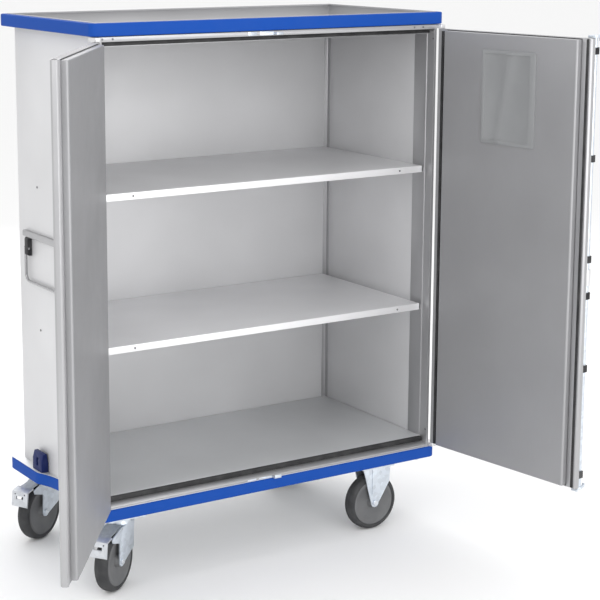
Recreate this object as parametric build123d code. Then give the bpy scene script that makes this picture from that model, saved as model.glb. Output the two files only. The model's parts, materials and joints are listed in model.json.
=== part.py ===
from build123d import *

import math
import os

# Mobile two-door supply cabinet. Millimetres; the origin is on the floor under the middle of
# the cabinet, +X to the right as one faces the doors, +Y towards the back, +Z up.

# Driving dimensions
WIDTH = 1350.0  # over the bumpers
DEPTH = 690.0  # over the bumpers
BUMPER_HEIGHT = 40.0
BUMPER_THICKNESS = 22.0
BUMPER_EDGE = 4.0
CORNER_RADIUS = 25.0
WAIST_RADIUS = 250.0  # hollow in each short side of the base
WAIST_DEPTH = 31.0
WAIST_BLEND = 60.0
BASE_Z = 244.0  # underside of the base bumper
TOP_Z = 1788.0  # underside of the top bumper
DECK_Z = BASE_Z + BUMPER_HEIGHT
DECK_THICKNESS = 2.0
BODY_Z = DECK_Z + DECK_THICKNESS
CHASSIS_Z = 240.0
ROOF_Z = 1786.0
GALLERY_Z = 1830.0

SHEET = 2.0
LINER = 1.5  # corner strips and post liners, which stand round the floor panel
WALL_X = 637.0  # outside of the side walls
FRAME_X = 646.0  # outside of the front posts
FRONT_Y = -DEPTH / 2 + 6  # front plane of the door frame
POST_DEPTH = 39.0
LINER_EDGE_Y = -DEPTH / 2 + 110  # inner edge of the front corner profile
BACK_Y = 300.0  # outside of the back wall
POST_TOP_Z = 1757.0
FLOOR_Z = 319.0
HEADER_LIP_Z = 1771.0
SEAL_FRONT_Y = -DEPTH / 2 + 26
SEAL_DEPTH = 12.0

SHELF_Z = {"upper_shelf": 1297.5, "lower_shelf": 807.0}
SHELF_FRONT_Y = -DEPTH / 2 + 35
SHELF_X = 616.0
SHELF_FOLD = 23.0

DOOR_Z = (300.0, 1772.0)
HINGE_X = 660.0
HINGE_Y = -DEPTH / 2 - 5
DOOR_REACH = 659.0  # hinge axis to free edge
DOOR_HEEL = 5.0  # hinge axis to hinge edge
DOOR_OUTER = -13.0  # outer face, from the axis
DOOR_INNER = 10.0  # inner face of the stiles, from the axis
PAN_FACE = 30.0  # inner face of the raised pan, from the axis
PAN_U = (38.0, 618.0)
PAN_MARGIN = 4.0  # pan edge below the door's top and above its bottom
OPEN_DEG = {"left": 126.6, "right": 97.6}
PIN_RADIUS = 3.0
PIN_PLAY = 0.05

LOCK_U = 642.0
LOCK_V = DOOR_OUTER - 14.0
LOCK_ROD_RADIUS = 8.0
LEVER_Z = 1003.0
LEVER_LENGTH = 165.0
HOOK_Z = (2.0, 10.0)  # above the doors' tops and below their bottoms

HANDLE_Y = 230.0  # each pivot from the middle of the left wall
HANDLE_PIVOT_Z = 1046.0
HANDLE_DROP = 112.0
HANDLE_WIRE = 6.0
HANDLE_X = -WALL_X - 10.0

WHEEL_RADIUS = 100.0
TYRE_WIDTH = 47.0
RIM_RADIUS = 82.0
AXLE_RADIUS = 6.0
AXLE_PLAY = 0.05
FORK_GAP = 27.0  # wheel plane to the inside of a fork leg
FORK_SHEET = 4.0
TRAIL = 54.0
CASTER_Y = 277.0
SWIVEL_X = -562.0
FIXED_X = 438.0
PLATE_SIZE = (138.0, 110.0, 5.0)
PLATE_HOLES = (105.0, 77.0)
PLATE_BOLT_RADIUS = 4.0
SWIVEL_DEG = {"front": 35.0, "rear": 27.5}
PEDAL_PIVOT = (-48.0, 208.0)  # from the plate centre, and above the floor
PEDAL_PIN_RADIUS = 3.5
CASTER_SIDE = {"front": -1, "rear": 1}


def block(x, y, z):
    """Box between three pairs of limits."""
    pairs = (x, y, z)
    size = [high - low for low, high in pairs]
    middle = [(high + low) / 2 for low, high in pairs]
    return Pos(*middle) * Box(*size)


def bar(start, end, radius):
    """Round bar from one point to another."""
    start, end = Vector(*start), Vector(*end)
    span = end - start
    return extrude(Plane(origin=start, z_dir=span) * Circle(radius), span.length)


def hex_head(x, y, z, across, height):
    """Hexagon head standing up from z."""
    return extrude(Pos(x, y, z) * RegularPolygon(across / math.sqrt(3), 6), height)


def mirrored(shape):
    """The same piece on the other side, left for right."""
    return mirror(shape, about=Plane.YZ)


def save(name, shapes):
    """Write one node; a list becomes a group of separate solids."""
    if isinstance(shapes, list):
        shapes = Compound([solid for shape in shapes for solid in shape.solids()])
    export_step(shapes, f"parts/{name}.step")


# ---- platform and bumpers


def footprint(inset, waisted):
    """Outline of a bumper, moved in by inset."""
    outline = fillet(Rectangle(WIDTH, DEPTH).vertices(), CORNER_RADIUS)
    if waisted:
        hollow_x = WIDTH / 2 - WAIST_DEPTH + WAIST_RADIUS
        for side in (-1, 1):
            outline -= Pos(side * hollow_x, 0) * Circle(WAIST_RADIUS)
        half_waist = DEPTH / 4
        outline = fillet(
            outline.vertices().filter_by(lambda v: abs(v.Y) < half_waist), WAIST_BLEND
        )
    return offset(outline, -inset) if inset else outline


def bumper(z, waisted):
    body = extrude(Pos(0, 0, z) * footprint(0, waisted), BUMPER_HEIGHT)
    rims = body.edges().group_by(Axis.Z)
    body = fillet(rims[0] + rims[-1], BUMPER_EDGE)
    return body - extrude(Pos(0, 0, z) * footprint(BUMPER_THICKNESS, waisted), BUMPER_HEIGHT)


def caster_positions():
    """Name, x and y of each caster's plate centre."""
    return [
        (end, kind, x, CASTER_SIDE[end] * CASTER_Y)
        for end in ("front", "rear")
        for kind, x in (("swivel", SWIVEL_X), ("fixed", FIXED_X))
    ]


def plate_holes(x, y):
    return [
        (x + i * PLATE_HOLES[0] / 2, y + j * PLATE_HOLES[1] / 2)
        for i in (-1, 1)
        for j in (-1, 1)
    ]


def plate_hole(x, y, z):
    """Clearance hole for a caster bolt, right through between two heights."""
    return bar((x, y, z[0] - 1), (x, y, z[1] + 1), PLATE_BOLT_RADIUS + 0.25)


def platform_frame():
    """Angle section round the bumper's inside and two flat-bottomed cross bearers."""
    wall = 3.0
    flange = 25.0
    bearer_half = 68.0
    web_x = 40.0
    outline = footprint(BUMPER_THICKNESS, True)
    upright = outline - footprint(BUMPER_THICKNESS + wall, True)
    foot = outline - footprint(BUMPER_THICKNESS + flange, True)
    angle = extrude(Pos(0, 0, CHASSIS_Z) * upright, DECK_Z - CHASSIS_Z)
    angle += extrude(Pos(0, 0, CHASSIS_Z) * foot, wall)
    inside = extrude(Pos(0, 0, CHASSIS_Z) * footprint(BUMPER_THICKNESS + 1, True), DECK_Z - CHASSIS_Z)
    reach = (-DEPTH / 2, DEPTH / 2)
    for x in (SWIVEL_X, FIXED_X):
        bearer = block((x - bearer_half, x + bearer_half), reach, (CHASSIS_Z, CHASSIS_Z + wall))
        for side in (-1, 1):
            web = x + side * web_x
            bearer += block((web - wall / 2, web + wall / 2), reach, (CHASSIS_Z, DECK_Z))
        angle += bearer & inside
    for _, _, x, y in caster_positions():
        for hole_x, hole_y in plate_holes(x, y):
            angle -= plate_hole(hole_x, hole_y, (CHASSIS_Z, CHASSIS_Z + wall))
    return angle


def bumper_bolt_places():
    """Round the outline, under the base bumper."""
    inset = BUMPER_THICKNESS / 2
    front = [(x, side * (DEPTH / 2 - inset)) for x in (-524.0, -175.0, 175.0, 601.0) for side in (-1, 1)]
    ends = [(side * (WIDTH / 2 - inset), y) for side in (-1, 1) for y in (-210.0, 210.0)]
    return front + ends


def chassis_bolts():
    """Caster bolts, head down, and the smaller bolts that hold the base bumper."""
    bolts = []
    plate_low = CHASSIS_Z - PLATE_SIZE[2]
    for _, _, x, y in caster_positions():
        for hole_x, hole_y in plate_holes(x, y):
            shank = bar((hole_x, hole_y, plate_low), (hole_x, hole_y, CHASSIS_Z + 9), PLATE_BOLT_RADIUS)
            bolts.append(shank + hex_head(hole_x, hole_y, plate_low - 5.3, 13.0, 5.3))
    for x, y in bumper_bolt_places():
        bolts.append(hex_head(x, y, BASE_Z - 4, 10.0, 4.0))
    return bolts


def roof_tray():
    """Roof sheet with the upstand that makes the gallery, rolled to a thicker rim."""
    rim_height = 6.0
    rim = 3.5
    wall = 2.0
    outer = footprint(BUMPER_THICKNESS, False)
    tray = extrude(Pos(0, 0, ROOF_Z) * outer, GALLERY_Z - ROOF_Z)
    hollow = offset(outer, -wall)
    tray -= extrude(Pos(0, 0, ROOF_Z + wall) * hollow, GALLERY_Z)
    curl = outer - offset(outer, -wall - rim)
    return tray + extrude(Pos(0, 0, GALLERY_Z - rim_height) * curl, rim_height)


# ---- cabinet body


def side_wall():
    """Right-hand wall, a plain sheet between the post and the back."""
    return block((WALL_X - SHEET, WALL_X), (FRONT_Y + POST_DEPTH, BACK_Y - SHEET), (BODY_Z, ROOF_Z))


def front_post():
    """Right-hand post: hinge-side frame face, and the liner flange lying on the wall inside."""
    inner_x = WALL_X - SHEET
    post = block((WALL_X, FRAME_X), (FRONT_Y, FRONT_Y + POST_DEPTH), (BODY_Z, POST_TOP_Z))
    back = FRONT_Y + POST_DEPTH
    post -= block((WALL_X + 2, FRAME_X - 2), (FRONT_Y + 2, back - 2), (BODY_Z - 1, POST_TOP_Z + 1))
    post += block((inner_x, WALL_X), (back - LINER, back), (BODY_Z, POST_TOP_Z))
    post += block((inner_x - LINER, inner_x), (back - LINER, LINER_EDGE_Y), (BODY_Z, POST_TOP_Z))
    return post


def rear_corner_profile():
    """Right-hand inner corner strip behind the shelves."""
    leg = 17.0
    inner_x = WALL_X - SHEET
    inner_y = BACK_Y - SHEET
    strip = block((inner_x - leg, inner_x), (inner_y - LINER, inner_y), (BODY_Z, ROOF_Z))
    strip += block((inner_x - LINER, inner_x), (inner_y - leg, inner_y), (BODY_Z, ROOF_Z))
    return strip


def floor_panel():
    """Folded tray: the floor and its turned-down edges, inside the liners and corner strips."""
    half = WALL_X - SHEET - LINER
    front = SEAL_FRONT_Y + SEAL_DEPTH
    back = BACK_Y - SHEET - LINER
    panel = block((-half, half), (front, back), (BODY_Z, FLOOR_Z))
    inner_x = (-half + SHEET, half - SHEET)
    return panel - block(inner_x, (front + SHEET, back - SHEET), (BODY_Z - 1, FLOOR_Z - SHEET))


def header_rail():
    """Channel over the doors: front lip, flat soffit and back web."""
    top = ROOF_Z
    front = FRONT_Y
    back = SEAL_FRONT_Y + SEAL_DEPTH
    rail = block((-FRAME_X, FRAME_X), (front, front + SHEET), (HEADER_LIP_Z, top))
    rail += block((-FRAME_X, FRAME_X), (front, back), (top - SHEET, top))
    rail += block((-WALL_X + SHEET, WALL_X - SHEET), (back - SHEET, back), (POST_TOP_Z - 3, top))
    for side in (-1, 1):
        ends = sorted((side * FRAME_X, side * WALL_X))
        rail += block(ends, (front, back), (POST_TOP_Z, top))
    return rail


def sill_rail():
    """Sloping threshold in front of the floor panel."""
    back = SEAL_FRONT_Y + SEAL_DEPTH
    profile = Polyline(
        (FRONT_Y, BODY_Z),
        (FRONT_Y, 292.0),
        (FRONT_Y + 3, 295.0),
        (SEAL_FRONT_Y + 2, 302.0),
        (back, 302.0),
        (back, 300.0),
        (SEAL_FRONT_Y + 2, 300.0),
        (FRONT_Y + 4, 293.0),
        (FRONT_Y + 2, 290.5),
        (FRONT_Y + 2, BODY_Z),
        close=True,
    )
    across = Plane(origin=(-WALL_X, 0, 0), x_dir=(0, 1, 0), z_dir=(1, 0, 0))
    return extrude(across * make_face(profile), 2 * WALL_X)


def frame_seals():
    """Black seals on the header and the sill, round-ended, that the doors' pans close on."""
    half = WALL_X - SHEET - 2.0
    y = (SEAL_FRONT_Y, SEAL_FRONT_Y + SEAL_DEPTH)
    header = block((-half, half), (y[0], y[1] - SHEET), (HEADER_LIP_Z - 14, HEADER_LIP_Z))
    sill = block((-half, half), y, (302.0, FLOOR_Z - 1))
    seals = []
    for seal in (header, sill):
        ends = seal.edges().filter_by(Axis.Y)
        seals.append(fillet(ends, 5.0))
    return seals


def shelf(z):
    """Turned-down tray: flat top, folded front, back and ends."""
    y = (SHELF_FRONT_Y, BACK_Y - 2 * SHEET)
    tray = block((-SHELF_X, SHELF_X), y, (z - SHELF_FOLD, z))
    inner_y = (y[0] + SHEET, y[1] - SHEET)
    tray -= block((-SHELF_X + SHEET, SHELF_X - SHEET), inner_y, (z - SHELF_FOLD - 1, z - SHEET))
    front = tray.edges().filter_by(Axis.X).group_by(Axis.Y)[0].group_by(Axis.Z)[-1]
    return fillet(front, 1.8)


def shelf_brackets():
    """Angle brackets screwed to the walls; each shelf's ends rest on them."""
    brackets = []
    wall_x = WALL_X - SHEET
    places = ((SHELF_FRONT_Y + 12, SHELF_FRONT_Y + 60), (BACK_Y - 90, BACK_Y - 42))
    for z in SHELF_Z.values():
        low = z - SHELF_FOLD
        for side in (-1, 1):
            for y in places:
                inner = wall_x - 1.5 if y[0] < LINER_EDGE_Y else wall_x
                upright = block(sorted((side * inner, side * (inner - 2))), y, (low - 5, low + 14))
                ledge = block(sorted((side * inner, side * (SHELF_X - 20))), y, (low - 2.0, low))
                brackets.append(upright + ledge)
    return brackets


def frame_screws():
    """Small pan-head screws and rivets, heads only, each sitting on what it holds."""
    screws = []
    head = 3.2
    proud = 1.4

    def front_head(x, z, y=FRONT_Y):
        screws.append(bar((x, y - proud, z), (x, y, z), head))

    for x in (-635.0, -600.0, 550.0, 587.0):
        front_head(x, 1779.0)
    for x in (-520.0, 520.0):
        for z in SHELF_Z.values():
            front_head(x, z - SHELF_FOLD / 2, SHELF_FRONT_Y)
    for z in (1738.0, 347.0):
        for side in (-1, 1):
            inner = side * WALL_X
            y = FRONT_Y + 6
            screws.append(bar((inner, y, z), (inner - side * proud, y, z), head))
    wall_out = -WALL_X
    for y, z in ((149.0, 1262.0), (145.0, 774.0)):
        screws.append(bar((wall_out - proud, y, z), (wall_out, y, z), 4.0))
        screws.append(bar((-wall_out, y, z), (-wall_out + proud, y, z), 4.0))
    return screws


def lock_keepers():
    """Header and sill keepers: a plate, a tongue the claw turns in behind, and a small stop."""
    y = (FRONT_Y - 1.5, FRONT_Y)
    tongue_y = (FRONT_Y - 22, FRONT_Y - 19)
    keepers = []
    for z, tongue_z in (
        ((HEADER_LIP_Z + 2, ROOF_Z - 1), (DOOR_Z[1] + HOOK_Z[0] + 0.5, DOOR_Z[1] + HOOK_Z[1] - 0.5)),
        ((BODY_Z, 291.5), (BODY_Z, DOOR_Z[0] - HOOK_Z[0] - 0.5)),
    ):
        keeper = block((-70, -17), y, z)
        keeper += block((-20, -17), (tongue_y[0], FRONT_Y), (tongue_z[0], min(z[1], tongue_z[1])))
        keeper += block((-20, -17), tongue_y, tongue_z)
        keeper += block((-20, 6), tongue_y, tongue_z)
        keepers.append(keeper)
        keepers.append(block((-115, -81), y, z))
    return keepers


def hinge_blocks():
    """Blocks on the posts' ends that carry the pivot pins, top and bottom on each side."""
    blocks = []
    for side in (-1, 1):
        x = sorted((side * (HINGE_X - 12), side * (HINGE_X + 9)))
        for low, high in ((DOOR_Z[1] + 1, ROOF_Z), (BODY_Z, DOOR_Z[0] - 1)):
            piece = block(x, (HINGE_Y - 9, FRONT_Y), (low, high))
            foot_x = sorted((side * FRAME_X, side * (HINGE_X + 9)))
            piece += block(foot_x, (HINGE_Y, FRONT_Y + 30), (low, high))
            piece = fillet(piece.edges().filter_by(Axis.Z).group_by(Axis.Y)[0], 5.0)
            piece -= bar((side * HINGE_X, HINGE_Y, low - 1), (side * HINGE_X, HINGE_Y, high + 1), PIN_RADIUS)
            blocks.append(piece)
    return blocks


def hinge_pins():
    """Pivot pins, pressed in the blocks, running in the doors' bushes."""
    reach = 20.0
    pins = []
    for side in (-1, 1):
        x = side * HINGE_X
        pins.append(bar((x, HINGE_Y, DOOR_Z[1] - reach), (x, HINGE_Y, ROOF_Z), PIN_RADIUS))
        pins.append(bar((x, HINGE_Y, BODY_Z), (x, HINGE_Y, DOOR_Z[0] + reach), PIN_RADIUS))
    return pins


def handle_mount_bar():
    """Formed rail on the left wall, over the push handle."""
    x = (-WALL_X - 14, -WALL_X)
    rail = block(x, (-HANDLE_Y - 14, HANDLE_Y + 14), (1084.0, 1106.0))
    rail = chamfer(rail.edges().filter_by(Axis.Y).group_by(Axis.X)[0], 3.0)
    rail -= block((-WALL_X - 9, -WALL_X - 4), (-HANDLE_Y - 12, HANDLE_Y + 12), (1100.0, 1107.0))
    return rail


def handle_pivot_blocks():
    """Black blocks under the rail; each holds one end of the handle and its spring."""
    blocks = []
    for side in (-1, 1):
        y = sorted((side * (HANDLE_Y - 5), side * (HANDLE_Y - 29)))
        piece = block((-WALL_X - 16, -WALL_X), y, (1022.0, 1084.0))
        piece = fillet(piece.edges().filter_by(Axis.Y).group_by(Axis.X)[0], 7.0)
        hole = (HANDLE_WIRE - 1.5) + PIN_PLAY
        piece -= bar((HANDLE_X, y[0] - 1, HANDLE_PIVOT_Z), (HANDLE_X, y[1] + 1, HANDLE_PIVOT_Z), hole)
        blocks.append(piece)
    return blocks


def bail_handle():
    """Push handle: a bent round bar whose ends turn in to the pivots."""
    bend = 26.0
    stub = HANDLE_WIRE - 1.5
    low = HANDLE_PIVOT_Z - HANDLE_DROP
    start = Vector(HANDLE_X, -HANDLE_Y, HANDLE_PIVOT_Z + 6)
    end = Vector(HANDLE_X, HANDLE_Y, HANDLE_PIVOT_Z + 6)
    path = FilletPolyline(
        start, Vector(HANDLE_X, -HANDLE_Y, low), Vector(HANDLE_X, HANDLE_Y, low), end, radius=bend
    )
    handle = sweep(Plane(origin=start, z_dir=(0, 0, -1)) * Circle(HANDLE_WIRE - 1), path=path)
    for side in (-1, 1):
        outer = (HANDLE_X, side * (HANDLE_Y + 3), HANDLE_PIVOT_Z)
        inner = (HANDLE_X, side * (HANDLE_Y - 27), HANDLE_PIVOT_Z)
        handle += bar(outer, inner, stub)
    return handle


def door_retainers():
    """Blocks on the deck that hold each open door, with the bolt that fixes each."""
    blocks = []
    profile = Polygon((0, 0), (26, 0), (26, 40), (19, 64), (6, 64), (0, 30), align=None)
    for side in (-1, 1):
        x0 = WALL_X + 1.0
        face = Plane(origin=(side * x0, 140.0, BODY_Z), x_dir=(side, 0, 0), z_dir=(0, -side, 0)) * profile
        piece = extrude(face, 35.0, both=True)
        recess_x = sorted((side * (x0 + 15), side * (x0 + 30)))
        piece -= block(recess_x, (132.0, 148.0), (BODY_Z + 18, BODY_Z + 46))
        blocks.append(piece)
        bolt_z = BODY_Z + 32
        blocks.append(bar((side * (x0 + 15), 140.0, bolt_z), (side * (x0 + 21), 140.0, bolt_z), 6.0))
    return blocks


# ---- doors, each drawn closed for the left side with the hinge axis at its own origin:
# +X runs from the axis to the free edge (u), +Y is the inner side (v)


def door_skin():
    """Outer skin: flat face with folded top, bottom and hinge edges."""
    u = (-DOOR_HEEL, PAN_U[1] + 2)
    skin = block(u, (DOOR_OUTER, DOOR_INNER), DOOR_Z)
    hollow_z = (DOOR_Z[0] + 1.5, DOOR_Z[1] - 1.5)
    skin -= block((u[0] + 1.5, u[1] + 1), (DOOR_OUTER + 1.5, DOOR_INNER - 1.5), hollow_z)
    skin -= block((PAN_U[0] - 4, u[1] + 1), (DOOR_INNER - 2, DOOR_INNER + 1), (hollow_z[0], hollow_z[1]))
    skin = fillet(skin.edges().filter_by(Axis.Z).group_by(Axis.X)[0].group_by(Axis.Y)[0], 2.5)
    for z in DOOR_Z:
        skin -= bar((0, 0, z - 5), (0, 0, z + 5), PIN_RADIUS + 0.6)
    return skin


def door_bushes():
    """Plastic bushes in the hinge edge, top and bottom, for the pivot pins."""
    bushes = []
    reach = 26.0
    for low, high in ((DOOR_Z[1] - reach, DOOR_Z[1] - 1.5), (DOOR_Z[0] + 1.5, DOOR_Z[0] + reach)):
        bush = bar((0, 0, low), (0, 0, high), 7.8) & block((-2, 30), (-30, 8.5), (low, high))
        bush += block((0, 22), (DOOR_OUTER + 1.5, 8.5), (low, high))
        bush -= bar((0, 0, low - 1), (0, 0, high + 1), PIN_RADIUS + PIN_PLAY)
        bushes.append(bush)
    return bushes


def door_pan():
    """Inner panel: a raised tray with rounded edges that stands into the door frame."""
    z = (DOOR_Z[0] + PAN_MARGIN, DOOR_Z[1] - PAN_MARGIN)
    root = DOOR_OUTER + 1.5
    pan = block(PAN_U, (root, PAN_FACE), z)
    pan = fillet(pan.edges().filter_by(Axis.Z).group_by(Axis.Y)[-1], 7.0)
    rounded = pan.faces().sort_by(Axis.Y)[-1]
    pan = fillet(rounded.edges().filter_by(Axis.X), 3.0)
    pan -= block((PAN_U[0] + 1.5, PAN_U[1] - 1.5), (root - 1, PAN_FACE - 8), (z[0] + 1.5, z[1] - 1.5))
    return pan - block((PAN_U[0] + 9, PAN_U[1] - 9), (PAN_FACE - 9, PAN_FACE - 1.5), (z[0] + 9, z[1] - 9))


def door_stile():
    """Closing stile: hollow section with a bevelled free edge and a groove for a seal."""
    u0 = PAN_U[1] + 2
    u1 = DOOR_REACH
    outline = Polygon(
        (u0, DOOR_OUTER),
        (u1 - 7, DOOR_OUTER),
        (u1, DOOR_OUTER + 6),
        (u1, DOOR_INNER - 4),
        (u1 - 5, DOOR_INNER + 1),
        (u1 - 11, DOOR_INNER + 1),
        (u1 - 11, DOOR_INNER - 3),
        (u1 - 21, DOOR_INNER - 3),
        (u1 - 21, DOOR_INNER),
        (u0, DOOR_INNER),
        align=None,
    )
    core = Polygon(
        (u0 + 2, DOOR_OUTER + 2),
        (u1 - 8, DOOR_OUTER + 2),
        (u1 - 2, DOOR_OUTER + 7),
        (u1 - 2, DOOR_INNER - 5.5),
        (u0 + 2, DOOR_INNER - 5.5),
        align=None,
    )
    return extrude(Pos(0, 0, DOOR_Z[0]) * (outline - core), DOOR_Z[1] - DOOR_Z[0])


def hinge_seal():
    """Soft seal beside the pan, along the hinge side; it enters the frame next to the post."""
    return block((25.0, 35.0), (DOOR_INNER, PAN_FACE - 3), (DOOR_Z[0] + 6, DOOR_Z[1] - 6))


def closing_seal():
    """Soft seal in the closing stile's groove."""
    u = (DOOR_REACH - 21, DOOR_REACH - 11)
    seal = block(u, (DOOR_INNER - 3, DOOR_INNER + 3), (DOOR_Z[0] + 2, DOOR_Z[1] - 2))
    return fillet(seal.edges().filter_by(Axis.Z).group_by(Axis.Y)[-1], 2.5)


def document_holder():
    """A4 holder on the pan: thin back, raised border wider away from the hinge, two thumb tabs."""
    u = (219.0, 452.0)
    z = (1405.0, 1716.0)
    thick = 3.0
    frame = block(u, (PAN_FACE, PAN_FACE + thick), z)
    frame = fillet(frame.edges().filter_by(Axis.Y), 4.0)
    frame -= block((u[0] + 11, u[1] - 27), (PAN_FACE + 1, PAN_FACE + thick + 1), (z[0] + 13, z[1] - 13))
    for tab_u, low, high in ((340.0, z[1] - 14, z[1] - 6), (289.0, z[0] + 6, z[0] + 14)):
        frame += block((tab_u - 14, tab_u + 14), (PAN_FACE, PAN_FACE + thick + 2), (low, high))
    return frame


def lock_guides():
    """Guides screwed to the closing stile's outer face; the rod turns in them."""
    guides = []
    for z in (DOOR_Z[0] + 40, 700.0, LEVER_Z - 60, LEVER_Z + 60, 1390.0, DOOR_Z[1] - 40):
        guide = block((LOCK_U - 12, LOCK_U + 12), (LOCK_V - 12, DOOR_OUTER), (z - 11, z + 11))
        guide = fillet(guide.edges().filter_by(Axis.Z).group_by(Axis.Y)[0], 9.0)
        guide -= bar((LOCK_U, LOCK_V, z - 12), (LOCK_U, LOCK_V, z + 12), LOCK_ROD_RADIUS + PIN_PLAY)
        guides.append(guide)
    return guides


def lever_catch():
    """Spring catch on the skin that the folded lever rests in."""
    u = LOCK_U - LEVER_LENGTH + 8
    catch = block((u - 12, u + 12), (DOOR_OUTER - 4, DOOR_OUTER), (LEVER_Z - 22, LEVER_Z + 22))
    for side in (-1, 1):
        cheek = sorted((LEVER_Z + side * 14.5, LEVER_Z + side * 18))
        catch += block((u - 12, u + 12), (LOCK_V - 2, DOOR_OUTER), cheek)
    return catch


def lock_rod():
    return bar(
        (LOCK_U, LOCK_V, DOOR_Z[0] - HOOK_Z[1]), (LOCK_U, LOCK_V, DOOR_Z[1] + HOOK_Z[1]), LOCK_ROD_RADIUS
    )


def lock_hooks():
    """Claws clamped on the rod's two ends: a toe that turns in behind the keeper's tongue, and
    a short prong away from the door."""
    hooks = []
    toe_v = (FRONT_Y - 14 - HINGE_Y, FRONT_Y - 7 - HINGE_Y)
    prong_v = (LOCK_V - 27, LOCK_V - 23)
    top = (DOOR_Z[1] + HOOK_Z[0], DOOR_Z[1] + HOOK_Z[1])
    bottom = (DOOR_Z[0] - HOOK_Z[1], DOOR_Z[0] - HOOK_Z[0])
    for z, prong_z in ((top, (DOOR_Z[1] - 10, top[1])), (bottom, (bottom[0], DOOR_Z[0] + 4))):
        hook = bar((LOCK_U, LOCK_V, z[0]), (LOCK_U, LOCK_V, z[1]), 13.0)
        hook += block((LOCK_U - 5, LOCK_U + 5), (LOCK_V, toe_v[1]), z)
        hook += block((LOCK_U - 5, LOCK_U + 18), toe_v, z)
        hook += block((LOCK_U - 4, LOCK_U + 4), (prong_v[0], LOCK_V), z)
        hook += block((LOCK_U - 4, LOCK_U + 4), prong_v, prong_z)
        hook -= bar((LOCK_U, LOCK_V, z[0] - 1), (LOCK_U, LOCK_V, z[1] + 1), LOCK_ROD_RADIUS)
        hooks.append(hook)
    return hooks


def lock_lever():
    """Flat lever clamped on the rod, folded back against the door."""
    end = LOCK_U - LEVER_LENGTH
    lever = block((end, LOCK_U), (LOCK_V - 4, LOCK_V + 4), (LEVER_Z - 13, LEVER_Z + 13))
    lever = fillet(lever.edges().filter_by(Axis.Y).group_by(Axis.X)[0], 12.0)
    lever += bar((LOCK_U, LOCK_V, LEVER_Z - 26), (LOCK_U, LOCK_V, LEVER_Z + 26), 12.5)
    return lever - bar((LOCK_U, LOCK_V, LEVER_Z - 27), (LOCK_U, LOCK_V, LEVER_Z + 27), LOCK_ROD_RADIUS)


def hang(shape, side):
    """Put a piece of a door in its place, the door open by its stored angle."""
    if side == "left":
        return Pos(-HINGE_X, HINGE_Y, 0) * Rot(0, 0, -OPEN_DEG[side]) * shape
    return Pos(HINGE_X, HINGE_Y, 0) * Rot(0, 0, OPEN_DEG[side]) * mirrored(shape)


# ---- casters, each drawn at its plate centre with its wheel towards -X


def fork_legs(outline):
    """Two cheek plates either side of the wheel from one outline of points (x, z)."""
    cheek = Plane.XZ * Polygon(*outline, align=None)
    legs = []
    for side in (-1, 1):
        offset_y = side * (FORK_GAP + FORK_SHEET / 2)
        legs.append(Pos(0, offset_y, 0) * extrude(cheek, FORK_SHEET / 2, both=True))
    return legs


def boss(x):
    """Rounded lower ends of both cheeks at the axle."""
    span = FORK_GAP + FORK_SHEET
    both = bar((x, -span, WHEEL_RADIUS), (x, span, WHEEL_RADIUS), 16.0)
    return both - block((x - 20, x + 20), (-FORK_GAP, FORK_GAP), (WHEEL_RADIUS - 20, WHEEL_RADIUS + 20))


def swivel_fork():
    """Crown, two sloping cheeks and the nose that carries the brake."""
    x = -TRAIL
    z = WHEEL_RADIUS
    crown_low = 206.0
    outline = (
        (x - 16, z),
        (x + 12, z - 10),
        (30, 124),
        (32, 180),
        (36, crown_low + 8),
        (-60, crown_low + 8),
        (-118, 194),
        (-114, 180),
        (x - 14, 166),
    )
    span = FORK_GAP + FORK_SHEET
    fork = block((-34, 36), (-span, span), (crown_low, crown_low + 8))
    for leg in fork_legs(outline):
        fork += leg
    fork += boss(x)
    fork += bar((0, 0, crown_low + 8), (0, 0, 228), 34.0)
    fork -= bar((x, -50, z), (x, 50, z), AXLE_RADIUS)
    pivot_x, pivot_z = PEDAL_PIVOT
    return fork - bar((pivot_x, -50, pivot_z), (pivot_x, 50, pivot_z), PEDAL_PIN_RADIUS + PIN_PLAY)


def fixed_fork():
    """Pressed fork: plate-wide top and two tapering cheeks with a stiffening rib."""
    z = WHEEL_RADIUS
    top = CHASSIS_Z - PLATE_SIZE[2]
    outline = (
        (-16, z),
        (-13, z - 9),
        (13, z - 9),
        (16, z),
        (36, 130),
        (62, 172),
        (66, top),
        (-52, top),
        (-34, 165),
    )
    span = FORK_GAP + FORK_SHEET
    fork = block((-52, 66), (-span, span), (top - FORK_SHEET, top))
    for leg in fork_legs(outline):
        fork += leg
    fork += boss(0)
    for side in (-1, 1):
        rib_y = sorted((side * span, side * (span + 3)))
        fork += block((-14, 22), rib_y, (z + 34, top))
    fork -= bar((0, -50, z), (0, 50, z), AXLE_RADIUS)
    return fork


def axle(x):
    """Axle bolt with its head and nut outside the cheeks."""
    z = WHEEL_RADIUS
    span = FORK_GAP + FORK_SHEET
    bolt = bar((x, -span, z), (x, span, z), AXLE_RADIUS)
    for side in (-1, 1):
        face = Plane(origin=(x, side * span, z), z_dir=(0, side, 0)) * RegularPolygon(10.0, 6)
        bolt += extrude(face, 6.0)
    return bolt


def rim(x):
    """Plastic wheel centre with dished faces and a hub as long as the fork allows."""
    hub = FORK_GAP - 1.0
    half = TYRE_WIDTH / 2 - 2
    profile = Polygon(
        (AXLE_RADIUS + AXLE_PLAY, -hub),
        (17, -hub),
        (22, -8),
        (66, -6),
        (74, -half),
        (RIM_RADIUS, -half),
        (RIM_RADIUS, half),
        (74, half),
        (66, 6),
        (22, 8),
        (17, hub),
        (AXLE_RADIUS + AXLE_PLAY, hub),
        align=None,
    )
    turned = revolve(Plane.XY * profile, Axis.Y)
    return Pos(x, 0, WHEEL_RADIUS) * turned


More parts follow.
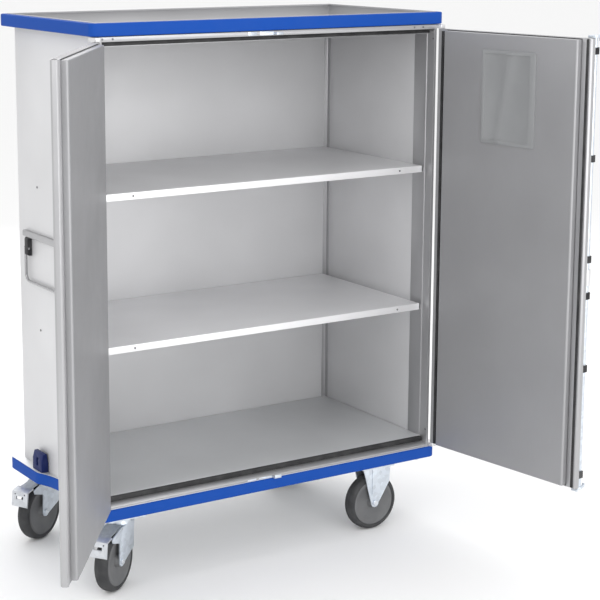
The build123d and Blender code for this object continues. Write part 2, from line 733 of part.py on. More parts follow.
def tyre(x):
    """Grey rubber tread with rounded shoulders, moulded on the rim."""
    half = TYRE_WIDTH / 2
    face = Pos((RIM_RADIUS + WHEEL_RADIUS) / 2, 0) * Rectangle(WHEEL_RADIUS - RIM_RADIUS, TYRE_WIDTH)
    corners = face.vertices().group_by(Axis.X)[-1]
    face = fillet(corners, half / 3)
    return Pos(x, 0, WHEEL_RADIUS) * revolve(Plane.XY * face, Axis.Y)


def brake_pedal():
    """Total-stop pedal: sloping cover pinned between the cheeks, tread as wide as the fork."""
    cover_half = 24.0
    tread_half = 33.0
    span = FORK_GAP + FORK_SHEET
    pivot_x, pivot_z = PEDAL_PIVOT
    tread = [
        (-124, 204.6),
        (-136, 203),
        (-158, 197),
        (-164, 146),
        (-160, 143),
        (-152, 194),
        (-134, 198),
        (-124, 199.8),
    ]
    cover = [(-42, 216), (-124, 204.6), (-136, 203), (-134, 198), (-106, 203), (-56, 206), (-43, 206)]
    pedal = extrude(Plane.XZ * Polygon(*cover, align=None), cover_half, both=True)
    pedal += extrude(Plane.XZ * Polygon(*tread, align=None), tread_half, both=True)
    pedal -= block((-170, -140), (-15, 15), (170, 181))
    for y in (-20, 20):
        pedal -= bar((-170, y, 188), (-140, y, 188), 3.0)
    return pedal + bar((pivot_x, -span, pivot_z), (pivot_x, span, pivot_z), PEDAL_PIN_RADIUS)


def stand(shape, end, kind):
    """Put a piece of a caster in its place."""
    if kind == "swivel":
        return Pos(SWIVEL_X, CASTER_SIDE[end] * CASTER_Y, 0) * Rot(0, 0, SWIVEL_DEG[end]) * shape
    return Pos(FIXED_X, CASTER_SIDE[end] * CASTER_Y, 0) * shape


def caster_plates():
    """Top plates bolted under the bearers; the swivel ones carry the fixed bearing race."""
    plates = []
    length, breadth, thick = PLATE_SIZE
    for _, kind, x, y in caster_positions():
        z = (CHASSIS_Z - thick, CHASSIS_Z)
        plate = block((x - length / 2, x + length / 2), (y - breadth / 2, y + breadth / 2), z)
        plate = fillet(plate.edges().filter_by(Axis.Z), 8.0)
        if kind == "swivel":
            plate += bar((x, y, 228.3), (x, y, CHASSIS_Z - thick), 37.0)
        for hole_x, hole_y in plate_holes(x, y):
            plate -= plate_hole(hole_x, hole_y, z)
        plates.append(plate)
    return plates


def write_body():
    save("platform_frame", platform_frame())
    deck = extrude(Pos(0, 0, DECK_Z) * footprint(3.0, True), DECK_THICKNESS)
    save("deck_plate", deck)
    save("base_bumper", bumper(BASE_Z, True))
    save("top_bumper", bumper(TOP_Z, False))
    save("chassis_bolts", chassis_bolts())
    save("roof_tray", roof_tray())
    save("right_side_wall", side_wall())
    save("left_side_wall", mirrored(side_wall()))
    back = block((-WALL_X, WALL_X), (BACK_Y - SHEET, BACK_Y), (BODY_Z, ROOF_Z))
    save("back_wall", back)
    save("floor_panel", floor_panel())
    save("front_posts", [front_post(), mirrored(front_post())])
    save("rear_corner_profiles", [rear_corner_profile(), mirrored(rear_corner_profile())])
    save("header_rail", header_rail())
    save("sill_rail", sill_rail())
    save("frame_seals", frame_seals())
    for name, z in SHELF_Z.items():
        save(name, shelf(z))
    save("shelf_brackets", shelf_brackets())
    save("frame_screws", frame_screws())
    save("lock_keepers", lock_keepers())
    save("hinge_blocks", hinge_blocks())
    save("hinge_pins", hinge_pins())
    save("handle_mount_bar", handle_mount_bar())
    save("handle_pivot_blocks", handle_pivot_blocks())
    save("bail_handle", bail_handle())
    save("door_retainers", door_retainers())


def write_doors():
    for side in ("left", "right"):
        save(f"{side}_door_skin", hang(door_skin(), side))
        save(f"{side}_door_pan", hang(door_pan(), side))
        save(f"{side}_door_stile", hang(door_stile(), side))
        save(f"{side}_door_hinge_seal", hang(hinge_seal(), side))
        save(f"{side}_door_bushes", [hang(bush, side) for bush in door_bushes()])
    save("right_door_closing_seal", hang(closing_seal(), "right"))
    save("document_holder", hang(document_holder(), "right"))
    save("lock_guides", [hang(guide, "right") for guide in lock_guides()])
    save("lever_catch", hang(lever_catch(), "right"))
    save("lock_rod", hang(lock_rod(), "right"))
    save("lock_hooks", [hang(hook, "right") for hook in lock_hooks()])
    save("lock_lever", hang(lock_lever(), "right"))


def write_casters():
    save("caster_plates", caster_plates())
    save("fixed_caster_forks", [stand(fixed_fork(), end, "fixed") for end in CASTER_SIDE])
    save("fixed_caster_axles", [stand(axle(0), end, "fixed") for end in CASTER_SIDE])
    for end in CASTER_SIDE:
        save(f"{end}_swivel_fork", stand(swivel_fork(), end, "swivel"))
        save(f"{end}_swivel_axle", stand(axle(-TRAIL), end, "swivel"))
        save(f"{end}_brake_pedal", stand(brake_pedal(), end, "swivel"))
        for kind, x in (("swivel", -TRAIL), ("fixed", 0)):
            save(f"{end}_{kind}_rim", stand(rim(x), end, kind))
            save(f"{end}_{kind}_tyre", stand(tyre(x), end, kind))


os.makedirs("parts", exist_ok=True)
write_body()
write_doors()
write_casters()
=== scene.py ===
import json
import math

import bmesh
import bpy
from mathutils import Matrix, Vector


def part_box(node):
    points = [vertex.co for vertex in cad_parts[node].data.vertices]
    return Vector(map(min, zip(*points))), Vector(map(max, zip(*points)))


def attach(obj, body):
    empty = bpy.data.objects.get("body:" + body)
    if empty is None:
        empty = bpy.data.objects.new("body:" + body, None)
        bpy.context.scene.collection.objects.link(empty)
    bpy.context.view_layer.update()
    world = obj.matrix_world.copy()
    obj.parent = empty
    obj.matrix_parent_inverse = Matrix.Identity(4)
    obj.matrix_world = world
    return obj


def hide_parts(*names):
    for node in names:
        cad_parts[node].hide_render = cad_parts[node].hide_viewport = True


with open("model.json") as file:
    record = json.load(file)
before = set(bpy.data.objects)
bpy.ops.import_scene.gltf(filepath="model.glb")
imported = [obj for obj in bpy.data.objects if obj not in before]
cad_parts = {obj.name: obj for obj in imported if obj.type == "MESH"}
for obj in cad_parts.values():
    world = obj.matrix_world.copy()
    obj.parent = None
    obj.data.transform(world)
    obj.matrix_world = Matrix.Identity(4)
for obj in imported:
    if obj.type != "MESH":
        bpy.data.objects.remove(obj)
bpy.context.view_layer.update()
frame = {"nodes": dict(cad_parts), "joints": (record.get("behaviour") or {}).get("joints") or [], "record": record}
nodes = frame["nodes"]
record = frame["record"]
bodyOfNode = {node: body for body, names in record["behaviour"]["bodies"].items() for node in names}
slotOfNode = {entry["node"]: entry["material_slot"] for entry in record["subparts"]}
print("frame loaded:", len(nodes), "nodes")

# camera and studio

cameraSettings = {
    "place": (-2.9763, -4.937, 2.127),
    "right": (0.84958, -0.52747, 0.00072),
    "up": (0.09672, 0.15712, 0.98283),
    "lens": 101.36,
    "shift": (0.0894, -0.1),
}
cameraData = bpy.data.cameras.new("studioCamera")
cameraData.sensor_width = 36
cameraData.lens = cameraSettings["lens"]
cameraData.shift_x, cameraData.shift_y = cameraSettings["shift"]
cameraData.clip_end = 200
camera = bpy.data.objects.new("studioCamera", cameraData)
bpy.context.collection.objects.link(camera)
rightWay = Vector(cameraSettings["right"]).normalized()
upWay = Vector(cameraSettings["up"]).normalized()
backWay = rightWay.cross(upWay)
turn = Matrix((rightWay, upWay, backWay)).transposed().to_4x4()
camera.matrix_world = Matrix.Translation(cameraSettings["place"]) @ turn
bpy.context.scene.camera = camera
bpy.context.scene.view_settings.view_transform = "Standard"

lightSettings = {
    "world": 1.0,
    "lamps": [  # name, place, aim, size, watts
        ("keyPanel", (-4.2, -3.2, 4.6), (0, 0, 0.9), 3.2, 50),
        ("fillPanel", (-0.6, -4.8, 1.9), (0, 0.2, 0.8), 3.6, 88),
        ("topPanel", (0.0, 0.4, 5.2), (0, 0, 0), 3.6, 45),
        ("backPanel", (1.5, 4.8, 3.2), (0, 0, 1.0), 3.0, 50),
    ],
}
world = bpy.data.worlds.new("paleStudio")
world.use_nodes = True
world.node_tree.nodes["Background"].inputs["Color"].default_value = (1.0, 1.0, 1.0, 1)
world.node_tree.nodes["Background"].inputs["Strength"].default_value = lightSettings["world"]
bpy.context.scene.world = world
for lampName, place, aim, size, watts in lightSettings["lamps"]:
    lampData = bpy.data.lights.new(lampName, "AREA")
    lampData.size = size
    lampData.energy = watts
    lamp = bpy.data.objects.new(lampName, lampData)
    lamp.location = place
    lamp.rotation_euler = (Vector(aim) - Vector(place)).to_track_quat("-Z", "Y").to_euler()
    bpy.context.collection.objects.link(lamp)

floorMesh = bpy.data.meshes.new("studioFloor")
floorMesh.from_pydata([(-40, -40, 0), (40, -40, 0), (40, 40, 0), (-40, 40, 0)], [], [(0, 1, 2, 3)])
studioFloor = bpy.data.objects.new("studioFloor", floorMesh)
bpy.context.collection.objects.link(studioFloor)
floorFinish = bpy.data.materials.new("studioFloorPaint")
floorFinish.use_nodes = True
floorFinish.node_tree.nodes["Principled BSDF"].inputs["Base Color"].default_value = (0.93, 0.93, 0.93, 1)
floorFinish.node_tree.nodes["Principled BSDF"].inputs["Roughness"].default_value = 0.9
floorMesh.materials.append(floorFinish)
print("camera, lights and floor ready")


# finishes


def anodisedMetal(name, tone, grain, roughness, metallic=0.75, cloud=0.05):
    # rolled or extruded aluminium: drawn grain, broad cloudiness, faint hand marks
    material = bpy.data.materials.new(name)
    material.use_nodes = True
    tree = material.node_tree
    tree.nodes.clear()
    output = tree.nodes.new("ShaderNodeOutputMaterial")
    output.label = "sheet surface"
    shader = tree.nodes.new("ShaderNodeBsdfPrincipled")
    shader.label = "anodised skin"
    coords = tree.nodes.new("ShaderNodeTexCoord")
    coords.label = "place on the sheet"
    grainFrame = tree.nodes.new("NodeFrame")
    grainFrame.label = "drawn grain"
    cloudFrame = tree.nodes.new("NodeFrame")
    cloudFrame.label = "cloudy tone and hand marks"
    stretch = tree.nodes.new("ShaderNodeMapping")
    stretch.label = "stretch along the rolling"
    stretch.parent = grainFrame
    lines = tree.nodes.new("ShaderNodeTexNoise")
    lines.label = "fine lines"
    lines.parent = grainFrame
    lineBump = tree.nodes.new("ShaderNodeBump")
    lineBump.label = "line depth"
    lineBump.parent = grainFrame
    broad = tree.nodes.new("ShaderNodeTexNoise")
    broad.label = "broad clouds"
    broad.parent = cloudFrame
    toneRamp = tree.nodes.new("ShaderNodeValToRGB")
    toneRamp.label = "tone of the clouds"
    toneRamp.parent = cloudFrame
    marks = tree.nodes.new("ShaderNodeTexNoise")
    marks.label = "hand marks"
    marks.parent = cloudFrame
    mixNoise = tree.nodes.new("ShaderNodeMath")
    mixNoise.label = "lines over marks"
    glossRange = tree.nodes.new("ShaderNodeMapRange")
    glossRange.label = "gloss range"
    for node, place in (
        (coords, (-1200, 0)), (stretch, (-980, 200)), (lines, (-760, 200)), (lineBump, (-320, -260)),
        (broad, (-760, -60)), (toneRamp, (-540, -60)), (marks, (-760, -320)), (mixNoise, (-540, -320)),
        (glossRange, (-320, -60)), (shader, (0, 0)), (output, (300, 0)),
    ):
        node.location = place
    stretch.inputs["Scale"].default_value = grain
    lines.inputs["Scale"].default_value = 14
    lines.inputs["Detail"].default_value = 3
    lineBump.inputs["Strength"].default_value = 0.06
    lineBump.inputs["Distance"].default_value = 0.0004
    broad.inputs["Scale"].default_value = 2.4
    broad.inputs["Detail"].default_value = 2
    toneRamp.color_ramp.elements[0].position = 0.3
    toneRamp.color_ramp.elements[0].color = (*[c * (1 - cloud) for c in tone], 1)
    toneRamp.color_ramp.elements[1].position = 0.7
    toneRamp.color_ramp.elements[1].color = (*[min(1, c * (1 + cloud)) for c in tone], 1)
    marks.inputs["Scale"].default_value = 9
    marks.inputs["Detail"].default_value = 4
    mixNoise.operation = "MULTIPLY"
    glossRange.inputs["From Min"].default_value = 0.1
    glossRange.inputs["From Max"].default_value = 0.4
    glossRange.inputs["To Min"].default_value = roughness - 0.05
    glossRange.inputs["To Max"].default_value = roughness + 0.08
    shader.inputs["Metallic"].default_value = metallic
    tree.links.new(coords.outputs["Object"], stretch.inputs["Vector"])
    tree.links.new(stretch.outputs["Vector"], lines.inputs["Vector"])
    tree.links.new(coords.outputs["Object"], broad.inputs["Vector"])
    tree.links.new(coords.outputs["Object"], marks.inputs["Vector"])
    tree.links.new(broad.outputs["Fac"], toneRamp.inputs["Fac"])
    tree.links.new(toneRamp.outputs["Color"], shader.inputs["Base Color"])
    tree.links.new(lines.outputs["Fac"], mixNoise.inputs[0])
    tree.links.new(marks.outputs["Fac"], mixNoise.inputs[1])
    tree.links.new(mixNoise.outputs["Value"], glossRange.inputs["Value"])
    tree.links.new(glossRange.outputs["Result"], shader.inputs["Roughness"])
    tree.links.new(lines.outputs["Fac"], lineBump.inputs["Height"])
    tree.links.new(lineBump.outputs["Normal"], shader.inputs["Normal"])
    tree.links.new(shader.outputs["BSDF"], output.inputs["Surface"])
    return material


def mouldedPlastic(name, tone, roughness, grainDepth=0.08, scuff=0.12):
    # injection moulded: fine spark grain, rubbed patches a little paler and duller
    material = bpy.data.materials.new(name)
    material.use_nodes = True
    tree = material.node_tree
    tree.nodes.clear()
    output = tree.nodes.new("ShaderNodeOutputMaterial")
    output.label = "moulding surface"
    shader = tree.nodes.new("ShaderNodeBsdfPrincipled")
    shader.label = "plastic body"
    shader.inputs["Specular IOR Level"].default_value = 0.22
    coords = tree.nodes.new("ShaderNodeTexCoord")
    coords.label = "place on the moulding"
    grainFrame = tree.nodes.new("NodeFrame")
    grainFrame.label = "spark grain"
    scuffFrame = tree.nodes.new("NodeFrame")
    scuffFrame.label = "scuffs"
    grain = tree.nodes.new("ShaderNodeTexNoise")
    grain.label = "mould grain"
    grain.parent = grainFrame
    grainBump = tree.nodes.new("ShaderNodeBump")
    grainBump.label = "grain depth"
    grainBump.parent = grainFrame
    rubbed = tree.nodes.new("ShaderNodeTexNoise")
    rubbed.label = "rubbed patches"
    rubbed.parent = scuffFrame
    toneRamp = tree.nodes.new("ShaderNodeValToRGB")
    toneRamp.label = "paler where rubbed"
    toneRamp.parent = scuffFrame
    glossRange = tree.nodes.new("ShaderNodeMapRange")
    glossRange.label = "duller where rubbed"
    glossRange.parent = scuffFrame
    for node, place in (
        (coords, (-1000, 0)), (grain, (-760, -260)), (grainBump, (-320, -260)), (rubbed, (-760, 100)),
        (toneRamp, (-540, 200)), (glossRange, (-540, -40)), (shader, (0, 0)), (output, (300, 0)),
    ):
        node.location = place
    grain.inputs["Scale"].default_value = 900
    grain.inputs["Detail"].default_value = 2
    grainBump.inputs["Strength"].default_value = grainDepth
    grainBump.inputs["Distance"].default_value = 0.0005
    rubbed.inputs["Scale"].default_value = 11
    rubbed.inputs["Detail"].default_value = 5
    toneRamp.color_ramp.elements[0].position = 0.42
    toneRamp.color_ramp.elements[0].color = (*tone, 1)
    toneRamp.color_ramp.elements[1].position = 0.78
    toneRamp.color_ramp.elements[1].color = (*[c + (0.6 - c) * scuff for c in tone], 1)
    glossRange.inputs["To Min"].default_value = roughness - 0.06
    glossRange.inputs["To Max"].default_value = roughness + 0.14
    tree.links.new(coords.outputs["Object"], grain.inputs["Vector"])
    tree.links.new(coords.outputs["Object"], rubbed.inputs["Vector"])
    tree.links.new(rubbed.outputs["Fac"], toneRamp.inputs["Fac"])
    tree.links.new(rubbed.outputs["Fac"], glossRange.inputs["Value"])
    tree.links.new(grain.outputs["Fac"], grainBump.inputs["Height"])
    tree.links.new(toneRamp.outputs["Color"], shader.inputs["Base Color"])
    tree.links.new(glossRange.outputs["Result"], shader.inputs["Roughness"])
    tree.links.new(grainBump.outputs["Normal"], shader.inputs["Normal"])
    tree.links.new(shader.outputs["BSDF"], output.inputs["Surface"])
    return material


def platedSteel(name, tone, roughness, spangle=0.1, spangleScale=60):
    # zinc or nickel on steel: small crystals that differ in tone and gloss
    material = bpy.data.materials.new(name)
    material.use_nodes = True
    tree = material.node_tree
    tree.nodes.clear()
    output = tree.nodes.new("ShaderNodeOutputMaterial")
    output.label = "plated surface"
    shader = tree.nodes.new("ShaderNodeBsdfPrincipled")
    shader.label = "plating"
    coords = tree.nodes.new("ShaderNodeTexCoord")
    coords.label = "place on the metal"
    crystalFrame = tree.nodes.new("NodeFrame")
    crystalFrame.label = "plating crystals"
    dullFrame = tree.nodes.new("NodeFrame")
    dullFrame.label = "dulling"
    crystals = tree.nodes.new("ShaderNodeTexVoronoi")
    crystals.label = "crystals"
    crystals.parent = crystalFrame
    toneRamp = tree.nodes.new("ShaderNodeValToRGB")
    toneRamp.label = "crystal tones"
    toneRamp.parent = crystalFrame
    crystalBump = tree.nodes.new("ShaderNodeBump")
    crystalBump.label = "crystal relief"
    crystalBump.parent = crystalFrame
    dull = tree.nodes.new("ShaderNodeTexNoise")
    dull.label = "dull patches"
    dull.parent = dullFrame
    glossRange = tree.nodes.new("ShaderNodeMapRange")
    glossRange.label = "gloss range"
    glossRange.parent = dullFrame
    for node, place in (
        (coords, (-1000, 0)), (crystals, (-760, 160)), (toneRamp, (-540, 160)), (crystalBump, (-320, -260)),
        (dull, (-760, -120)), (glossRange, (-540, -120)), (shader, (0, 0)), (output, (300, 0)),
    ):
        node.location = place
    crystals.inputs["Scale"].default_value = spangleScale
    toneRamp.color_ramp.elements[0].color = (*[c * (1 - spangle) for c in tone], 1)
    toneRamp.color_ramp.elements[1].color = (*[min(1, c * (1 + spangle)) for c in tone], 1)
    crystalBump.inputs["Strength"].default_value = 0.05
    crystalBump.inputs["Distance"].default_value = 0.0005
    dull.inputs["Scale"].default_value = 24
    dull.inputs["Detail"].default_value = 4
    glossRange.inputs["To Min"].default_value = roughness - 0.08
    glossRange.inputs["To Max"].default_value = roughness + 0.14
    shader.inputs["Metallic"].default_value = 0.85
    tree.links.new(coords.outputs["Object"], crystals.inputs["Vector"])
    tree.links.new(coords.outputs["Object"], dull.inputs["Vector"])
    tree.links.new(crystals.outputs["Color"], toneRamp.inputs["Fac"])
    tree.links.new(crystals.outputs["Distance"], crystalBump.inputs["Height"])
    tree.links.new(dull.outputs["Fac"], glossRange.inputs["Value"])
    tree.links.new(toneRamp.outputs["Color"], shader.inputs["Base Color"])
    tree.links.new(glossRange.outputs["Result"], shader.inputs["Roughness"])
    tree.links.new(crystalBump.outputs["Normal"], shader.inputs["Normal"])
    tree.links.new(shader.outputs["BSDF"], output.inputs["Surface"])
    return material


def softRubber(name, tone, dust, roughness):
    # rubber: pitted matt skin with dust lying on it
    material = bpy.data.materials.new(name)
    material.use_nodes = True
    tree = material.node_tree
    tree.nodes.clear()
    output = tree.nodes.new("ShaderNodeOutputMaterial")
    output.label = "rubber surface"
    shader = tree.nodes.new("ShaderNodeBsdfPrincipled")
    shader.label = "rubber body"
    coords = tree.nodes.new("ShaderNodeTexCoord")
    coords.label = "place on the rubber"
    pitFrame = tree.nodes.new("NodeFrame")
    pitFrame.label = "pitted skin"
    dustFrame = tree.nodes.new("NodeFrame")
    dustFrame.label = "dust"
    pits = tree.nodes.new("ShaderNodeTexNoise")
    pits.label = "pits"
    pits.parent = pitFrame
    pitBump = tree.nodes.new("ShaderNodeBump")
    pitBump.label = "pit depth"
    pitBump.parent = pitFrame
    dustCloud = tree.nodes.new("ShaderNodeTexNoise")
    dustCloud.label = "dust cloud"
    dustCloud.parent = dustFrame
    dustRamp = tree.nodes.new("ShaderNodeValToRGB")
    dustRamp.label = "rubber to dust"
    dustRamp.parent = dustFrame
    for node, place in (
        (coords, (-1000, 0)), (pits, (-760, -200)), (pitBump, (-320, -200)), (dustCloud, (-760, 120)),
        (dustRamp, (-540, 120)), (shader, (0, 0)), (output, (300, 0)),
    ):
        node.location = place
    pits.inputs["Scale"].default_value = 420
    pitBump.inputs["Strength"].default_value = 0.15
    pitBump.inputs["Distance"].default_value = 0.0005
    dustCloud.inputs["Scale"].default_value = 26
    dustCloud.inputs["Detail"].default_value = 6
    dustRamp.color_ramp.elements[0].position = 0.4
    dustRamp.color_ramp.elements[0].color = (*tone, 1)
    dustRamp.color_ramp.elements[1].position = 0.8
    dustRamp.color_ramp.elements[1].color = (*[c + dust for c in tone], 1)
    shader.inputs["Roughness"].default_value = roughness
    tree.links.new(coords.outputs["Object"], pits.inputs["Vector"])
    tree.links.new(coords.outputs["Object"], dustCloud.inputs["Vector"])
    tree.links.new(dustCloud.outputs["Fac"], dustRamp.inputs["Fac"])
    tree.links.new(pits.outputs["Fac"], pitBump.inputs["Height"])
    tree.links.new(dustRamp.outputs["Color"], shader.inputs["Base Color"])
    tree.links.new(pitBump.outputs["Normal"], shader.inputs["Normal"])
    tree.links.new(shader.outputs["BSDF"], output.inputs["Surface"])
    return material


upGrain = (60, 60, 1.5)
longGrain = (1.5, 60, 60)
finishes = {
    "galvanised_frame": platedSteel("galvanisedFrame", (0.50, 0.52, 0.54), 0.45, 0.18, 40),
    "deck_sheet": anodisedMetal("deckSheet", (0.66, 0.67, 0.68), longGrain, 0.42),
    "bumper_blue": mouldedPlastic("bumperBlue", (0.002, 0.060, 0.34), 0.62, 0.05, 0.01),
    "zinc_bolts": platedSteel("zincBolts", (0.72, 0.75, 0.79), 0.28, 0.06, 120),
    "roof_sheet": anodisedMetal("roofSheet", (0.46, 0.46, 0.47), longGrain, 0.46),
    "wall_sheet": anodisedMetal("wallSheet", (0.67, 0.67, 0.68), upGrain, 0.48, 0.35),
    "floor_sheet": anodisedMetal("floorSheet", (0.65, 0.66, 0.67), longGrain, 0.42, 0.5),
    "frame_profile": anodisedMetal("frameProfile", (0.44, 0.44, 0.45), upGrain, 0.36),
    "black_seal": softRubber("blackSeal", (0.012, 0.012, 0.013), 0.03, 0.62),
    "shelf_sheet": anodisedMetal("shelfSheet", (0.84, 0.84, 0.85), longGrain, 0.42, 0.45),
    "steel_screws": platedSteel("darkScrews", (0.20, 0.20, 0.21), 0.38, 0.1, 150),
    "zinc_steel": platedSteel("blueZinc", (0.66, 0.71, 0.77), 0.34, 0.12, 70),
    "hinge_alloy": anodisedMetal("hingeAlloy", (0.72, 0.72, 0.73), upGrain, 0.4),
    "steel_pins": platedSteel("groundPins", (0.6, 0.6, 0.6), 0.25, 0.05, 150),
    "black_plastic": mouldedPlastic("blackPlastic", (0.018, 0.018, 0.02), 0.48),
    "navy_plastic": mouldedPlastic("navyPlastic", (0.003, 0.012, 0.09), 0.5, 0.08, 0.05),
    "door_sheet": anodisedMetal("doorSheet", (0.42, 0.42, 0.43), upGrain, 0.6, 0.35),
    "door_pan_sheet": anodisedMetal("doorPan", (0.35, 0.35, 0.36), upGrain, 0.46, 0.5),
    "holder_plastic": mouldedPlastic("holderPlastic", (0.25, 0.255, 0.26), 0.3, 0.03, 0.05),
    "handle_steel": anodisedMetal("handleSteel", (0.40, 0.40, 0.41), longGrain, 0.22, 0.95),
    "pedal_steel": platedSteel("pedalSteel", (0.60, 0.62, 0.65), 0.38, 0.1, 80),
    "rim_plastic": mouldedPlastic("rimPlastic", (0.13, 0.132, 0.136), 0.46, 0.08, 0.1),
    "tyre_rubber": softRubber("tyreRubber", (0.028, 0.029, 0.031), 0.03, 0.75),
}
print("finishes made:", len(finishes))


# pieces that stand for the CAD nodes, with broken edges

edgeSettings = {
    "softest": {"base_bumper": 0.0, "top_bumper": 0.0},  # these already carry their own round
    "plain": 0.0006,
    "thin": 0.00025,
    "thinNodes": ("frame_screws", "lock_keepers", "hinge_pins", "document_holder", "shelf_brackets"),
    "sharpAngle": 32,
}
drawnAgain = set()


def keepPiece(name, mesh, body, slot, node=None):
    # link a finished mesh, give it its finish, hang it on its body and hide the node it stands for
    piece = bpy.data.objects.new(name, mesh)
    bpy.context.collection.objects.link(piece)
    if not mesh.materials:
        mesh.materials.append(finishes[slot])
    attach(piece, body)
    if node:
        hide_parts(node)
    return piece


def bakedMesh(holder):
    # the evaluated shape as a plain mesh; the holder object goes away
    bpy.context.view_layer.update()
    depsgraph = bpy.context.evaluated_depsgraph_get()
    mesh = bpy.data.meshes.new_from_object(holder.evaluated_get(depsgraph))
    bpy.data.objects.remove(holder)
    return mesh


def brokenEdges(node):
    source = nodes[node]
    work = bmesh.new()
    work.from_mesh(source.data)
    bmesh.ops.remove_doubles(work, verts=work.verts, dist=1e-6)
    bmesh.ops.dissolve_limit(work, angle_limit=math.radians(0.5), verts=work.verts, edges=work.edges)
    mesh = bpy.data.meshes.new(node + "Finished")
    work.to_mesh(mesh)
    work.free()
    holder = bpy.data.objects.new(node + "Holder", mesh)
    bpy.context.collection.objects.link(holder)
    width = edgeSettings["thin"] if node in edgeSettings["thinNodes"] else edgeSettings["plain"]
    width = edgeSettings["softest"].get(node, width)
    if width:
        bevel = holder.modifiers.new("brokenEdge", "BEVEL")
        bevel.width = width
        bevel.segments = 2
        bevel.limit_method = "ANGLE"
        bevel.angle_limit = math.radians(edgeSettings["sharpAngle"])
        bevel.use_clamp_overlap = True
        bevel.harden_normals = False
    result = bakedMesh(holder)
    result.materials.clear()
    result.materials.append(finishes[slotOfNode[node]])
    result.polygons.foreach_set("use_smooth", [True] * len(result.polygons))
    result.set_sharp_from_angle(angle=math.radians(edgeSettings["sharpAngle"]))
    return keepPiece(node + "_finished", result, bodyOfNode[node], slotOfNode[node], node)


# wheels: turned tyre with a tread seam, smooth dished centre

wheelSettings = {
    "steps": 96,
    "tyre": [  # distance from the axle, place along it
        (0.082, -0.0225), (0.086, -0.0235), (0.0905, -0.0225), (0.0955, -0.019), (0.0985, -0.0135), (0.0998, -0.007),
        (0.1, -0.0012), (0.0994, 0), (0.1, 0.0012), (0.0998, 0.007), (0.0985, 0.0135), (0.0955, 0.019),
        (0.0905, 0.0225), (0.086, 0.0235), (0.082, 0.0225),
    ],
    "rim": [  # distance from the axle, place along it
        (0.00605, -0.026), (0.0155, -0.026), (0.017, -0.0245), (0.021, -0.0115), (0.026, -0.010), (0.046, -0.012),
        (0.064, -0.0165), (0.070, -0.0195), (0.0735, -0.0215), (0.0805, -0.0215), (0.082, -0.02), (0.082, 0.02),
        (0.0805, 0.0215), (0.0735, 0.0215), (0.070, 0.0195), (0.064, 0.0165), (0.046, 0.012), (0.026, 0.010),
        (0.021, 0.0115), (0.017, 0.0245), (0.0155, 0.026), (0.00605, 0.026),
    ],
}


def turnedMesh(name, profile, centre, axle, steps):
    # profile of (distance from the axle, place along it), turned right round
    work = bmesh.new()
    side = axle.cross(Vector((0, 0, 1))).normalized()
    rise = side.cross(axle).normalized()
    rings = []
    for step in range(steps):
        angle = 2 * math.pi * step / steps
        way = side * math.cos(angle) + rise * math.sin(angle)
        rings.append([work.verts.new(centre + way * r + axle * w) for r, w in profile])
    for step in range(steps):
        here, there = rings[step], rings[(step + 1) % steps]
        for i in range(len(profile)):
            j = (i + 1) % len(profile)
            work.faces.new((here[i], here[j], there[j], there[i]))
    bmesh.ops.recalc_face_normals(work, faces=work.faces)
    mesh = bpy.data.meshes.new(name)
    work.to_mesh(mesh)
    work.free()
    mesh.polygons.foreach_set("use_smooth", [True] * len(mesh.polygons))
    mesh.set_sharp_from_angle(angle=math.radians(35))
    return mesh


def nodeMiddle(node):
    low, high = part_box(node)
    return (Vector(low) + Vector(high)) / 2


def headTree():
    # domed screw or bolt heads on the given points, turned to face the given way
    tree = bpy.data.node_groups.new("headsOnPoints", "GeometryNodeTree")
    tree.interface.new_socket("Geometry", in_out="OUTPUT", socket_type="NodeSocketGeometry")
    tree.interface.new_socket("Places", in_out="INPUT", socket_type="NodeSocketGeometry")
    for label, kind in (
        ("Sides", "NodeSocketInt"), ("Radius", "NodeSocketFloat"), ("Top Radius", "NodeSocketFloat"),
        ("Height", "NodeSocketFloat"), ("Turn", "NodeSocketRotation"), ("Finish", "NodeSocketMaterial"),
    ):
        tree.interface.new_socket(label, in_out="INPUT", socket_type=kind)
    given = tree.nodes.new("NodeGroupInput")
    points = tree.nodes.new("GeometryNodeMeshToPoints")
    head = tree.nodes.new("GeometryNodeMeshCone")
    placed = tree.nodes.new("GeometryNodeInstanceOnPoints")
    real = tree.nodes.new("GeometryNodeRealizeInstances")
    painted = tree.nodes.new("GeometryNodeSetMaterial")
    result = tree.nodes.new("NodeGroupOutput")
    for column, node in enumerate((given, points, head, placed, real, painted, result)):
        node.location = (column * 200 - 600, 0)
    links = tree.links
    links.new(given.outputs["Places"], points.inputs["Mesh"])
    links.new(given.outputs["Sides"], head.inputs["Vertices"])
    links.new(given.outputs["Radius"], head.inputs["Radius Bottom"])
    links.new(given.outputs["Top Radius"], head.inputs["Radius Top"])
    links.new(given.outputs["Height"], head.inputs["Depth"])
    links.new(points.outputs["Points"], placed.inputs["Points"])
    links.new(head.outputs["Mesh"], placed.inputs["Instance"])
    links.new(given.outputs["Turn"], placed.inputs["Rotation"])
    links.new(placed.outputs["Instances"], real.inputs["Geometry"])
    links.new(real.outputs["Geometry"], painted.inputs["Geometry"])
    links.new(given.outputs["Finish"], painted.inputs["Material"])
    links.new(painted.outputs["Geometry"], result.inputs["Geometry"])
    return tree


def treeMesh(name, tree, values, points=()):
    # run a tree on a holder and bake it; inputs are set by identifier
    holderMesh = bpy.data.meshes.new(name + "Points")
    holderMesh.from_pydata([tuple(p) for p in points], [], [])
    holder = bpy.data.objects.new(name + "Holder", holderMesh)
    bpy.context.collection.objects.link(holder)
    modifier = holder.modifiers.new("shape", "NODES")
    modifier.node_group = tree
    identifiers = {item.name: item.identifier for item in tree.interface.items_tree if item.in_out == "INPUT"}
    for label, value in values.items():
        modifier[identifiers[label]] = value
    holder.update_tag()
    return bakedMesh(holder)


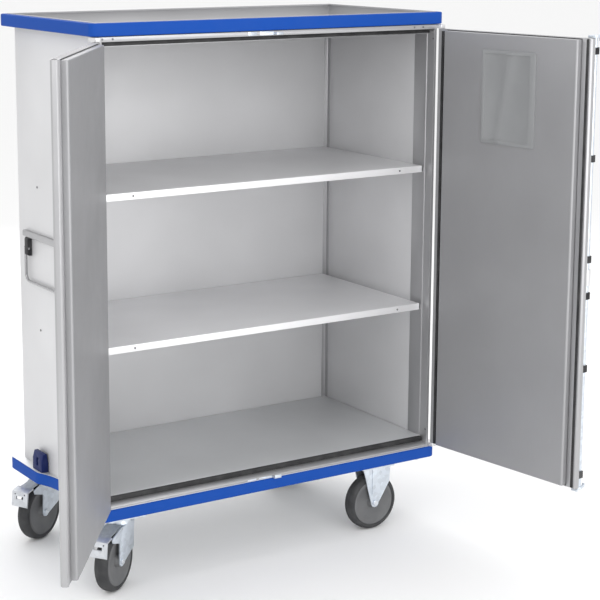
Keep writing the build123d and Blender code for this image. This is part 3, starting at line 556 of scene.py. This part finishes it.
for jointEntry in frame["joints"]:
    if not jointEntry["name"].endswith("_wheel_spin"):
        continue
    wheelName = jointEntry["name"][: -len("_wheel_spin")]
    axle = Vector(jointEntry["axis"]).normalized()
    centre = nodeMiddle(wheelName + "_tyre")
    body = bodyOfNode[wheelName + "_tyre"]
    mesh = turnedMesh(wheelName + "TyreTurned", wheelSettings["tyre"], centre, axle, wheelSettings["steps"])
    keepPiece(wheelName + "_tyre_turned", mesh, body, "tyre_rubber", wheelName + "_tyre")
    mesh = turnedMesh(wheelName + "RimTurned", wheelSettings["rim"], centre, axle, wheelSettings["steps"])
    keepPiece(wheelName + "_rim_turned", mesh, body, "rim_plastic", wheelName + "_rim")
    drawnAgain.update((wheelName + "_tyre", wheelName + "_rim"))
print("wheels made")

# frame screws: a domed cap on each, but not where a door seal lies over the head

headSettings = {"cap": 0.0034, "top": 0.0021, "height": 0.0007, "sides": 24, "lap": 0.0002, "sealStrip": (0.61, 0.65)}


def looseMiddles(node):
    # the front middle of every separate solid in a group of fasteners
    work = bmesh.new()
    work.from_mesh(nodes[node].data)
    bmesh.ops.remove_doubles(work, verts=work.verts, dist=1e-6)
    unseen = set(work.verts)
    middles = []
    while unseen:
        island = {unseen.pop()}
        border = list(island)
        while border:
            for edge in border.pop().link_edges:
                for vert in edge.verts:
                    if vert in unseen:
                        unseen.discard(vert)
                        island.add(vert)
                        border.append(vert)
        front = min(vert.co.y for vert in island)
        face = [vert.co for vert in island if vert.co.y < front + 1e-5]
        middle = sum(face, Vector()) / len(face)
        middles.append((middle.x, front, middle.z))
    work.free()
    return middles


headsTree = headTree()
stripLow, stripHigh = headSettings["sealStrip"]
screwMiddles = looseMiddles("frame_screws")
screwPlaces = [(x, y + headSettings["lap"], z) for x, y, z in screwMiddles if not stripLow < abs(x) < stripHigh]
caps = treeMesh("screwCaps", headsTree, {
    "Sides": headSettings["sides"], "Radius": headSettings["cap"], "Top Radius": headSettings["top"],
    "Height": headSettings["height"], "Turn": (math.pi / 2, 0, 0), "Finish": finishes["steel_screws"],
}, screwPlaces)
keepPiece("frame_screw_caps", caps, bodyOfNode["frame_screws"], "steel_screws")
print("screw caps made:", len(screwPlaces), "of", len(screwMiddles))

for node in sorted(nodes):
    if node not in drawnAgain:
        brokenEdges(node)
print("other pieces finished:", len(nodes) - len(drawnAgain))
